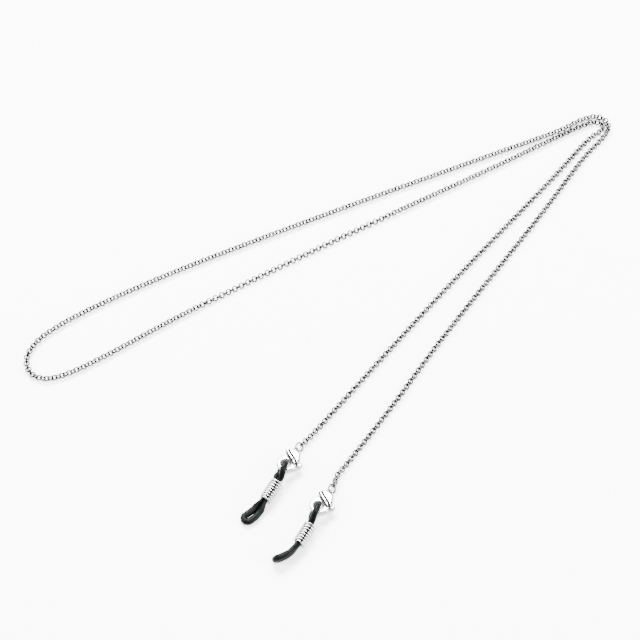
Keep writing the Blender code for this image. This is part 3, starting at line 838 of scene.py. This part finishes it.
# %% Clasp lever
TAB_DEG = 78.0
TAB_WIDTH = 1.30
TAB_START = 2.05
TAB_REACH = 3.10
TAB_RIBS = 3
TAB_ROUNDING = 0.25
RIB_GROOVE = 0.12
WEB_REACH = 0.45
WEB_DEG = (12.0, 92.0)
HEEL_BACK = 0.45
HEEL_ABOVE = 0.05
HEEL_CUT = (1.5, 2.0)
RIVET_PROUD = 0.06
RIVET_ROUNDING = 0.10
RIVET_SHADOW = 0.85


def make_lever(side):
    nose_start = GATE_START_DEG + math.degrees(GATE_GAP / CLAW_RADIUS)
    casting = Casting(round_plate(CLAW_CENTRE, CLAW_RADIUS, CLAW_THICK,
                                   CLAW_ROUNDING))
    keep = arc(CLAW_CENTRE, CLAW_RADIUS + 1.0, GATE_END_DEG - 360.0, nose_start, 24)
    casting.cut(plate(keep + [CLAW_CENTRE], 2 * BODY_THICK))
    casting.cut(round_plate(PIVOT, CHEEK_RADIUS + GATE_GAP, 2 * BODY_THICK))
    casting.add(plate([PIVOT] + arc(PIVOT, CHEEK_RADIUS + WEB_REACH, *WEB_DEG, 16),
                      LEVER_THICK))
    casting.add(round_plate(PIVOT, ROOT_RADIUS, LEVER_THICK))
    turn = math.radians(TAB_DEG)
    along = Vector((math.cos(turn), math.sin(turn)))
    across = Vector((-along.y, along.x))
    middle = Vector(PIVOT) + along * (TAB_START + TAB_REACH) / 2
    half = (TAB_REACH - TAB_START) / 2
    wide = TAB_WIDTH / 2
    corners = [middle + along * a * half + across * b * wide
               for a, b in ((-1, -1), (1, -1), (1, 1), (-1, 1))]
    casting.add(plate([tuple(corner) for corner in corners], CLAW_THICK,
                      TAB_ROUNDING))
    casting.cut(round_plate(MOUTH_CENTRE, MOUTH_RADIUS, 2 * BODY_THICK))
    for rib in range(TAB_RIBS):
        offset = (rib - (TAB_RIBS - 1) / 2) * TAB_WIDTH / TAB_RIBS
        centre = Vector(PIVOT) + along * TAB_REACH + across * offset
        casting.cut(round_plate(tuple(centre), RIB_GROOVE, 2 * CLAW_THICK))
    heel_x = PIVOT[0] - HEEL_BACK
    heel_y = PIVOT[1] + HEEL_ABOVE
    cut_x = heel_x - HEEL_CUT[0]
    cut_y = heel_y + HEEL_CUT[1]
    casting.cut(plate([(cut_x, heel_y), (heel_x, heel_y), (heel_x, cut_y),
                       (cut_x, cut_y)], 2 * LEVER_THICK))
    casting.cut(round_plate(PIVOT, RIVET_RADIUS + RIVET_PLAY, 2 * BODY_THICK))
    shape = casting.melted(LEVER_SMOOTHING)
    place = Matrix.Scale(MM, 4) @ clasp_frame(side)
    bmesh.ops.transform(shape, matrix=place, verts=shape.verts)
    finished(f"{side}_thumb_lever", shape, LEVER_STEEL, f"{side}_lever",
             f"{side}_clasp_lever")


def make_rivet(side):
    shape = round_plate(PIVOT, RIVET_RADIUS, BODY_THICK + RIVET_PROUD, RIVET_ROUNDING)
    place = Matrix.Scale(MM, 4) @ clasp_frame(side)
    bmesh.ops.transform(shape, matrix=place, verts=shape.verts)
    pin = finished(f"{side}_clasp_pin", shape, RIVET_STEEL,
                   f"{side}_clasp", f"{side}_clasp_rivet", smooth_deg=40.0)
    # Painted shade: the whole pin is darkened so that it does not stand out in the groove.
    shade_with(pin, lambda point: RIVET_SHADOW)


for side in SIDES:
    make_lever(side)
    make_rivet(side)
print("2 levers, 2 rivets")

# %% [markdown]
# A spring and a wire coil are the same shape at two sizes: a round wire spun about an
# axis while it moves along it. The spin operator does both at once when it is given a
# step along the axis.

# %% Springs and coils
SPRING_OUTER = 0.70
SPRING_WIRE = 0.14
SPRING_TURNS = 5
HEEL_TO_POCKET = 1.69
COIL_OUTER = 4.00
COIL_WIRE = 0.80
COIL_TURNS = 7.3
COIL_PITCH = 0.93


def helix(outer, wire, pitch, turns, per_turn, sides):
    """Wire coil about X, centred on the origin, with rounded wire ends."""
    radius = (outer - wire) / 2
    steps = round(turns * per_turn)
    rise = math.atan(pitch / (2 * math.pi * radius))
    section = (Matrix.Translation((-pitch * turns / 2, radius, 0.0))
               @ Matrix.Rotation(-rise, 4, "Y"))
    shape = bmesh.new()
    bmesh.ops.create_circle(shape, segments=sides, radius=wire / 2, cap_ends=True,
                            matrix=section)
    bmesh.ops.spin(shape, geom=shape.faces[:] + shape.edges[:] + shape.verts[:],
                   cent=(0, 0, 0), axis=(1, 0, 0), dvec=(pitch * turns / steps, 0, 0),
                   angle=2 * math.pi * turns, steps=steps, use_merge=False)
    ends = [edge for face in shape.faces if len(face.verts) > 4 for edge in face.edges]
    bmesh.ops.bevel(shape, geom=ends, offset=wire * 0.2, segments=3, profile=0.5,
                    affect="EDGES", material=-1)
    bmesh.ops.recalc_face_normals(shape, faces=shape.faces)
    return shape


def make_spring(side):
    low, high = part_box(f"{side}_clasp_spring")
    place = clasp_frame(side)
    place.translation = (low + high) / 2 / MM
    length = HEEL_TO_POCKET - SPRING_WIRE
    shape = helix(SPRING_OUTER, SPRING_WIRE, length / SPRING_TURNS, SPRING_TURNS, 24, 10)
    bmesh.ops.transform(shape, matrix=Matrix.Scale(MM, 4) @ place, verts=shape.verts)
    spring = finished(f"{side}_heel_spring", shape, SPRING_STEEL,
                      f"{side}_clasp", f"{side}_clasp_spring", smooth_deg=50.0)
    along = place.col[0].to_3d()
    pocket_end = (place.translation - along * length / 2) * MM
    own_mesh(spring)


def coil_frame(side):
    low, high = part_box(f"{side}_coil_slider")
    return frame_at((low + high) / 2 / MM, joint_axis(f"{side}_coil_slide"), UP)


def make_coil(side):
    shape = helix(COIL_OUTER, COIL_WIRE, COIL_PITCH, COIL_TURNS, 40, 18)
    place = coil_frame(side)
    bmesh.ops.transform(shape, matrix=Matrix.Scale(MM, 4) @ place, verts=shape.verts)
    finished(f"{side}_wire_coil", shape, COIL_STEEL, f"{side}_coil",
             f"{side}_coil_slider", smooth_deg=50.0)


for side in SIDES:
    make_spring(side)
    make_coil(side)
print("2 springs, 2 coils")

# %% [markdown]
# The temple loop is one endless rubber cord. It goes up through the clasp's mouth and
# back, and the coil squeezes its two strands into half-round shapes side by side. The
# line between the strands is stepped out from the claw, and the strands stand off it
# by a distance and an angle that change along the way.

# %% Rubber loop line
CORD_DIA = 2.00
CORD_CLAW_DIA = 1.86
STRAND_GAP = 0.04
SLIT_GAP = 0.40
CLAW_TURN_DEG = 71.0
CLAW_OFFSET = 1.91
CLAW_EXIT_OFFSET = 0.99
CLAW_BEND_REACH = 2.30
LOOP_LENGTH = 9.30
COIL_START = 4.10
COIL_END = 11.69
SQUEEZED_WIDTH = 0.56
SQUEEZED_HEIGHT = 0.94
SQUEEZE_LENGTH = 3.00
SLIT_START = 3.20
SLIT_WIDENING = 2.50
CLAW_PART_END = 0.60
CLAW_EXIT = 2.40
WIDTH_TAPER = 2.20
HEIGHT_TAPER = 1.40
GRIP_START = COIL_START - 0.1
SETTLE_LENGTH = 4.0
LOOP_STEP = 0.05
BEND_STEPS = 16
CLAW_LEVEL_END = 0.5
LOOP_KEYS = {
    "left": {
        "heading": [(0.0, -110.0), (2.0, -111.0), (4.1, -119.1), (11.1, -119.1),
                    (15.0, -130.0), (20.4, -147.0)],
        "turn": [(0.5, CLAW_TURN_DEG), (4.1, 0.0)],
    },
    "right": {
        "heading": [(0.0, -110.0), (2.0, -104.0), (4.1, -118.7), (11.1, -118.7),
                    (14.0, -130.0), (17.0, -150.0), (20.4, -168.0)],
        "turn": [(0.5, CLAW_TURN_DEG), (4.1, 72.0)],
    },
}


class RubberLoop:
    """Line and section of one endless cord, from the claw to the tip and back."""

    def __init__(self, side):
        self.keys = LOOP_KEYS[side]
        self.claw = joint_point(f"{side}_loop_swing")
        self.end = COIL_END + LOOP_LENGTH - CORD_DIA / 2 - (CORD_DIA + SLIT_GAP) / 2
        self.free_offset = (CORD_DIA + STRAND_GAP) / 2
        self.tip_offset = (CORD_DIA + SLIT_GAP) / 2
        coil_height = coil_frame(side).translation.z
        here = self.claw.copy()
        self.middle = []
        for index in range(int(self.end / LOOP_STEP) + 2):
            s = index * LOOP_STEP
            stand = self.offset(s) * abs(math.sin(self.turn(s)))
            resting = CORD_DIA / 2 + FLOOR_GAP + stand
            here.z = eased([(CLAW_LEVEL_END, self.claw.z), (COIL_START, coil_height),
                            (COIL_END, coil_height),
                            (COIL_END + SETTLE_LENGTH, resting)], s)
            self.middle.append(here.copy())
            here = here + self.ahead(s) * LOOP_STEP

    def ahead(self, s):
        turn = math.radians(eased(self.keys["heading"], s))
        return Vector((math.cos(turn), math.sin(turn), 0.0))

    def turn(self, s):
        return math.radians(eased(self.keys["turn"], s))

    def offset(self, s):
        grip = SQUEEZED_WIDTH + STRAND_GAP / 2
        return eased([(CLAW_PART_END, CLAW_OFFSET), (CLAW_EXIT, CLAW_EXIT_OFFSET),
                      (GRIP_START, grip), (COIL_END, grip),
                      (COIL_END + SQUEEZE_LENGTH, self.free_offset),
                      (COIL_END + SLIT_START, self.free_offset),
                      (COIL_END + SLIT_START + SLIT_WIDENING, self.tip_offset)], s)

    def width(self, s):
        return eased([(COIL_START - WIDTH_TAPER, CORD_CLAW_DIA / 2),
                      (GRIP_START, SQUEEZED_WIDTH), (COIL_END, SQUEEZED_WIDTH),
                      (COIL_END + SQUEEZE_LENGTH, CORD_DIA / 2)], s)

    def height(self, s):
        return eased([(COIL_START - HEIGHT_TAPER, CORD_CLAW_DIA / 2),
                      (GRIP_START, SQUEEZED_HEIGHT), (COIL_END, SQUEEZED_HEIGHT),
                      (COIL_END + SQUEEZE_LENGTH, CORD_DIA / 2)], s)

    def middle_at(self, s):
        index = min(int(s / LOOP_STEP), len(self.middle) - 2)
        return self.middle[index].lerp(self.middle[index + 1], s / LOOP_STEP - index)

    def across(self, s):
        turn = self.turn(s)
        level = UP.cross(self.ahead(s))
        return level * math.cos(turn) + UP * math.sin(turn)

    def once_round(self, step):
        """(point, across, width, height) all the way round the cord."""
        count = round(self.end / step)
        strand = [self.end * index / count for index in range(count + 1)]
        line = [(self.middle_at(s) + self.across(s) * self.offset(s), self.across(s),
                 self.width(s), self.height(s)) for s in strand]
        line += self.bend(self.middle_at(self.end), self.across(self.end),
                          self.ahead(self.end), self.tip_offset, self.tip_offset,
                          CORD_DIA / 2)
        line += [(self.middle_at(s) - self.across(s) * self.offset(s), self.across(s),
                  self.width(s), self.height(s)) for s in reversed(strand)]
        line += self.bend(self.claw, self.across(0.0) * -1, self.ahead(0.0) * -1,
                          CLAW_OFFSET, CLAW_BEND_REACH, CORD_CLAW_DIA / 2)
        return line

    def bend(self, centre, across, ahead, offset, reach, radius):
        """Half turn of the cord from one strand to the other."""
        line = []
        for step in range(1, BEND_STEPS):
            turn = math.pi * step / BEND_STEPS
            sideways = across * offset * math.cos(turn)
            here = centre + sideways + ahead * reach * math.sin(turn)
            line.append((here, across, radius, radius))
        return line


# %% Rubber loops
LOOP_STATION_GAP = 0.28
LOOP_SIDES = 28
LEAST_UPRIGHT = 0.3


def make_rubber_loop(side):
    loop = RubberLoop(side)
    line = loop.once_round(LOOP_STATION_GAP)
    stations = []
    for index, (here, across, width, height) in enumerate(line):
        ahead = line[(index + 1) % len(line)][0] - line[index - 1][0]
        upright = ahead.cross(across)
        if upright.length < LEAST_UPRIGHT * ahead.length:
            upright = stations[-1][0].col[2].to_3d()
        if stations and upright.dot(stations[-1][0].col[2].to_3d()) < 0:
            upright = upright * -1
        stations.append((frame_at(here, ahead, upright), width, height))
    shape = swept(stations, LOOP_SIDES)
    bmesh.ops.scale(shape, vec=(MM, MM, MM), verts=shape.verts)
    rubber_cord = finished(f"{side}_temple_loop", shape, RUBBER,
                           f"{side}_loop", f"{side}_rubber_loop")
    print(rubber_cord.name, len(rubber_cord.data.polygons), "faces")


for side in SIDES:
    make_rubber_loop(side)

# %% [markdown]
# The strap lies on a plain pale table. Steel shows what surrounds it, so the light has
# to hold both white and dark: large soft boxes against a dimmer room give bright
# streaks along the wires with dark edges beside them.

# %% Table and light
FLOOR_SIZE = 3.0


def make_table():
    shape = bmesh.new()
    bmesh.ops.create_grid(shape, x_segments=1, y_segments=1, size=FLOOR_SIZE / 2)
    mesh = bpy.data.meshes.new("table")
    shape.to_mesh(mesh)
    shape.free()
    table = bpy.data.objects.new("table", mesh)
    bpy.context.scene.collection.objects.link(table)
    finish = Finish("pale_table")
    finish.set(Base_Color=(0.93, 0.93, 0.93, 1.0), Roughness=0.8)
    mesh.materials.append(finish.material)


def soft_box(name, place, size, watts, look_at=(0.0, 0.05, 0.0)):
    light = bpy.data.lights.new(name, "AREA")
    light.shape = "RECTANGLE"
    light.size = size[0]
    light.size_y = size[1]
    light.energy = watts
    lamp = bpy.data.objects.new(name, light)
    lamp.location = place
    toward = Vector(look_at) - Vector(place)
    lamp.rotation_euler = toward.to_track_quat("-Z", "Y").to_euler()
    bpy.context.scene.collection.objects.link(lamp)


def make_room(strength):
    world = bpy.data.worlds.new("pale_room")
    world.use_nodes = True
    background = world.node_tree.nodes["Background"]
    background.inputs["Color"].default_value = (1.0, 1.0, 1.0, 1.0)
    background.inputs["Strength"].default_value = strength
    bpy.context.scene.world = world


make_table()
make_room(0.10)
soft_box("back_box", (-0.15, 0.95, 1.10), (1.1, 0.55), 190.0)
soft_box("left_box", (-1.2, -0.1, 0.8), (0.25, 1.0), 60.0)
soft_box("top_box", (0.25, -0.35, 1.4), (0.7, 0.22), 60.0)
soft_box("right_box", (1.1, -0.25, 0.45), (0.35, 0.9), 55.0)
print("table, room and 4 soft boxes")
